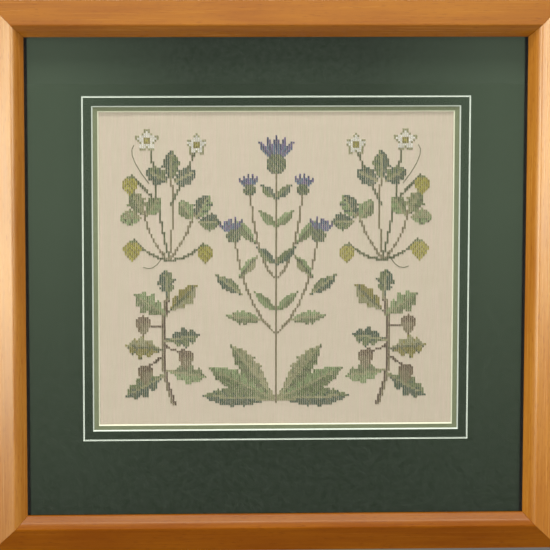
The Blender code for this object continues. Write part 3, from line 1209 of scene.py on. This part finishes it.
class CROSSSTITCH_OT_linen(bpy.types.Operator):
    """Build the stretched linen"""

    bl_idname = "crossstitch.linen"
    bl_label = "Linen"

    def execute(self, context):
        settings = context.scene.crossstitch_cloth
        size = LINEN_HIGH - LINEN_LOW
        bm = bmesh.new()
        bmesh.ops.create_grid(bm, x_segments=LINEN_CELLS[0], y_segments=LINEN_CELLS[1], size=0.5)
        upright = Matrix.Rotation(math.pi / 2, 4, "X")
        stretch = Matrix.Diagonal((size.x, 1.0, size.z, 1.0))
        bmesh.ops.transform(bm, matrix=stretch @ upright, verts=bm.verts[:])
        for vert in bm.verts:
            across = math.sin(vert.co.x * RIPPLE_ACROSS + RIPPLE_SWAY * math.sin(vert.co.z * RIPPLE_BEND))
            vert.co.y = across * math.sin(vert.co.z * RIPPLE_UP + RIPPLE_START) * settings.ripple
        place = Vector((0.0, cloth_front(settings), CLOTH_MIDDLE_Z))
        bmesh.ops.translate(bm, vec=place, verts=bm.verts[:])
        bmesh.ops.recalc_face_normals(bm, faces=bm.faces[:])
        if sum(face.normal.y for face in bm.faces) > 0:
            bmesh.ops.reverse_faces(bm, faces=bm.faces[:])
        bmesh.ops.solidify(bm, geom=bm.faces[:], thickness=settings.cloth_thickness)
        bmesh.ops.recalc_face_normals(bm, faces=bm.faces[:])
        mesh = mesh_from("linen_cloth", bm)
        linen = linen_material(settings)
        cloth = dressed("linen_cloth", mesh, [linen], "natural_linen", ["linen"], LINEN_SMOOTH)
        return {"FINISHED"}


class CROSSSTITCH_OT_stitches(bpy.types.Operator):
    """Work the cross stitches and back stitches, one piece for each floss"""

    bl_idname = "crossstitch.stitches"
    bl_label = "Stitches"

    def execute(self, context):
        settings = context.scene.crossstitch_cloth
        chart = flower_chart()
        rng = np.random.default_rng(STITCH_SEED)
        cross = cross_template(settings)
        for floss, colour in FLOSS_COLOURS.items():
            squares = sorted(place for place, name in chart.squares.items() if name == floss)
            matrices = stitch_matrices(settings, squares, rng)
            shades = rng.normal(1.0, SHADE_SPREAD, len(squares))
            self.add_stitches(floss, colour, tiled_mesh("stitches_" + floss, cross, matrices, shades))
        matrices = back_stitch_matrices(settings, chart.lines)
        shades = rng.normal(1.0, TENDRIL_SHADE_SPREAD, len(matrices))
        mesh = tiled_mesh("stitches_tendrils", back_stitch_template(settings), matrices, shades)
        self.add_stitches("tendrils", FLOSS_COLOURS["moss"], mesh)
        return {"FINISHED"}

    def add_stitches(self, name, colour, mesh):
        """Make a mesh of stitches a piece of one floss."""
        floss = floss_material(name, colour)
        dressed("stitches_" + name, mesh, [floss], "natural_linen", [], FLOSS_SMOOTH)


class CROSSSTITCH_OT_backing(bpy.types.Operator):
    """Finish the board behind the cloth"""

    bl_idname = "crossstitch.backing"
    bl_label = "Backing board"

    def execute(self, context):
        settings = context.scene.crossstitch_mats
        board, fibre = solid(settings.board), solid(settings.board_fibre)
        material = card_material("backing_fibre", board, fibre, 0.9, roughness=0.9)
        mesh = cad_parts["backing_board"].data
        mesh.materials.clear()
        mesh.materials.append(material)
        return {"FINISHED"}


class CROSSSTITCH_OT_stage(bpy.types.Operator):
    """Set up the floor, the lights and the camera"""

    bl_idname = "crossstitch.stage"
    bl_label = "Stage"

    def execute(self, context):
        settings = context.scene.crossstitch_stage
        context.scene.view_settings.view_transform = "Standard"
        self.floor(settings)
        self.sky(settings, context.scene)
        unmirrored = self.unmirrored()
        for row in LIGHTS:
            self.light(*row).light_linking.receiver_collection = unmirrored
        self.camera(settings, context.scene)
        return {"FINISHED"}

    def floor(self, settings):
        """A plain pale floor below the hanging frame."""
        bm = bmesh.new()
        bmesh.ops.create_grid(bm, x_segments=1, y_segments=1, size=FLOOR_SIZE)
        place = Vector((0.0, 0.0, CAD_BOX[0].z - settings.floor_drop))
        bmesh.ops.translate(bm, vec=place, verts=bm.verts[:])
        mesh = mesh_from("floor", bm)
        material, tree, shader = new_material("pale_floor", Roughness=0.8)
        values = {"Vector": object_coordinates(tree), "Face": solid(settings.floor_colour), "Amount": 1.0}
        values["Fibre"] = paler(settings.floor_colour, FLOOR_FIBRE)
        tone = place_group(tree, card_fibre, values)
        tree.links.new(tone["Color"], shader.inputs["Base Color"])
        mesh.materials.append(material)
        floor = add_object("floor", mesh)

    def sky(self, settings, scene):
        """Soft light from all round."""
        world = bpy.data.worlds.new("studio")
        world.use_nodes = True
        background = world.node_tree.nodes["Background"]
        background.inputs["Color"].default_value = SKY_COLOUR
        background.inputs["Strength"].default_value = settings.sky_strength
        scene.world = world

    def light(self, name, place, aim, size, spread_deg, power):
        """A soft rectangular light that the camera doesn't see."""
        data = bpy.data.lights.new(name, "AREA")
        data.shape = "RECTANGLE"
        data.size, data.size_y = size
        data.spread = math.radians(spread_deg)
        data.energy = power
        data.color = LIGHT_COLOUR
        lamp = add_object(name, data)
        lamp.location = place
        lamp.rotation_euler = (Vector(aim) - Vector(place)).to_track_quat("-Z", "Y").to_euler()
        lamp.visible_camera = False
        return lamp

    def unmirrored(self):
        """A collection that keeps the lamps from being mirrored in the glass."""
        collection = bpy.data.collections.new("unmirrored")
        collection.objects.link(bpy.data.objects["glass_pane"])
        collection.collection_objects[0].light_linking.link_state = "EXCLUDE"
        return collection

    def camera(self, settings, scene):
        """The camera at the photograph's angle."""
        data = bpy.data.cameras.new("camera")
        data.lens = settings.lens
        data.sensor_width = SENSOR_WIDTH
        data.clip_end = SIGHT_REACH
        camera = add_object("camera", data)
        yaw = Matrix.Rotation(-settings.camera_yaw, 4, "Z")
        pitch = Matrix.Rotation(math.pi / 2 + settings.camera_pitch, 4, "X")
        roll = Matrix.Rotation(settings.camera_roll, 4, "Z")
        camera.matrix_world = Matrix.Translation(settings.camera_place) @ (yaw @ pitch @ roll)
        scene.camera = camera


class CROSSSTITCH_PT_panel(bpy.types.Panel):
    """Buttons for every piece, in the order in which they are built"""

    bl_idname = "CROSSSTITCH_PT_panel"
    bl_label = "Framed cross-stitch"
    bl_space_type = "VIEW_3D"
    bl_region_type = "UI"
    bl_category = "Cross-stitch"

    def draw(self, context):
        for operator in OPERATORS:
            self.layout.operator(operator.bl_idname)


SETTINGS = {
    "crossstitch_frame": FrameSettings,
    "crossstitch_mats": MatSettings,
    "crossstitch_cloth": ClothSettings,
    "crossstitch_stage": StageSettings,
}

OPERATORS = [
    CROSSSTITCH_OT_rails,
    CROSSSTITCH_OT_glass,
    CROSSSTITCH_OT_mats,
    CROSSSTITCH_OT_stitches,
    CROSSSTITCH_OT_linen,
    CROSSSTITCH_OT_backing,
    CROSSSTITCH_OT_stage,
]

CLASSES = [*SETTINGS.values(), *OPERATORS, CROSSSTITCH_PT_panel]


def register():
    """Add the settings, the operators and the panel."""
    for cls in CLASSES:
        bpy.utils.register_class(cls)
    for name, cls in SETTINGS.items():
        setattr(bpy.types.Scene, name, PointerProperty(type=cls))


def unregister():
    """Take the settings, the operators and the panel away again."""
    for name in SETTINGS:
        delattr(bpy.types.Scene, name)
    for cls in reversed(CLASSES):
        bpy.utils.unregister_class(cls)


def main():
    """Build every piece in order."""
    register()
    for operator in OPERATORS:
        category, name = operator.bl_idname.split(".")
        getattr(getattr(bpy.ops, category), name)()


if __name__ == "__main__":
    main()
